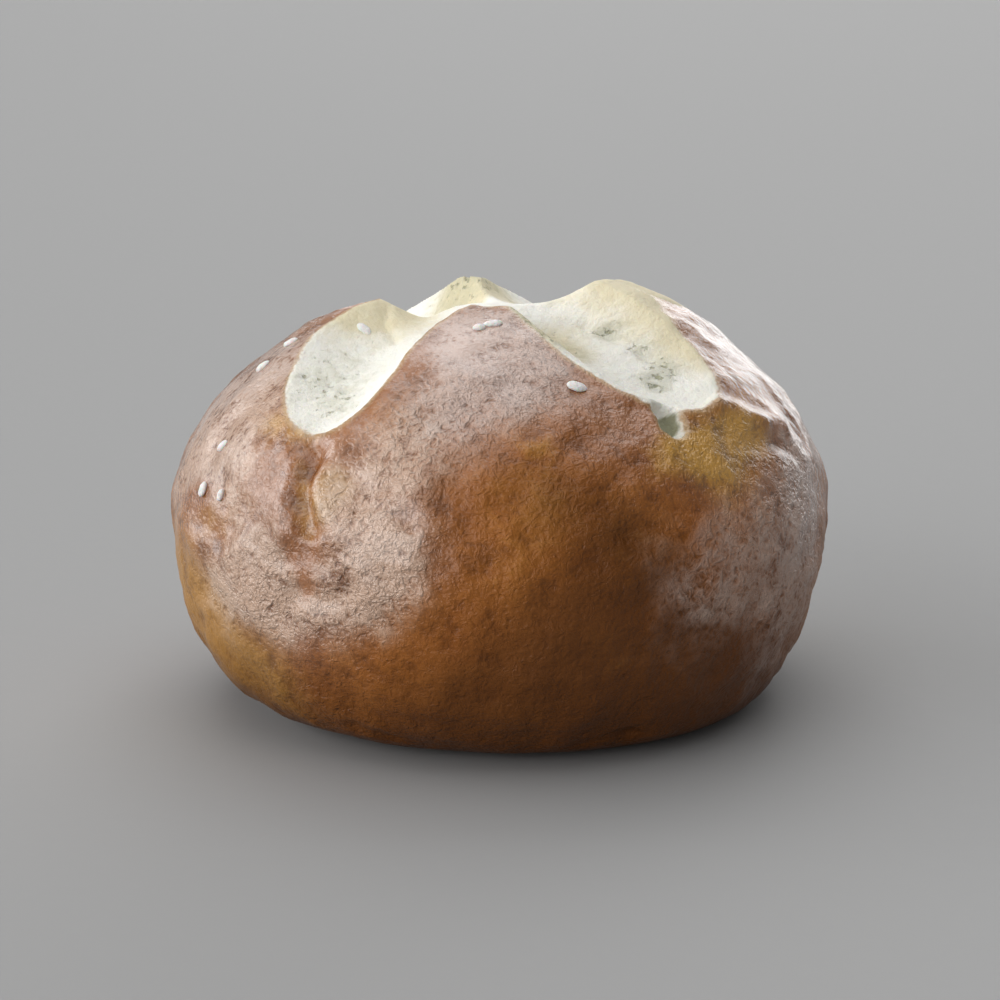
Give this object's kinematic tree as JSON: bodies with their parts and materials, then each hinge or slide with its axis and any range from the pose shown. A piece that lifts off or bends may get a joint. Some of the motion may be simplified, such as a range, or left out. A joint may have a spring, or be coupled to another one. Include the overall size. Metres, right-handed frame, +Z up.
{
  "type": "pretzel roll",
  "caption": "Round lye-dipped bread roll with a cross cut baked open to pale crumb and a little coarse salt.",
  "frame": {"origin": "middle of the flat foot that the roll rests on", "axes": "+Z up through the cut top, +X to the right and -Y to the front as seen in the picture"},
  "size_m": [0.0944, 0.0951, 0.0594],
  "materials": {
    "crust": "satin",
    "salt": "satin"
  },
  "bodies": {
    "root": {"pretzel_roll": "crust"}
  },
  "joints": []
}
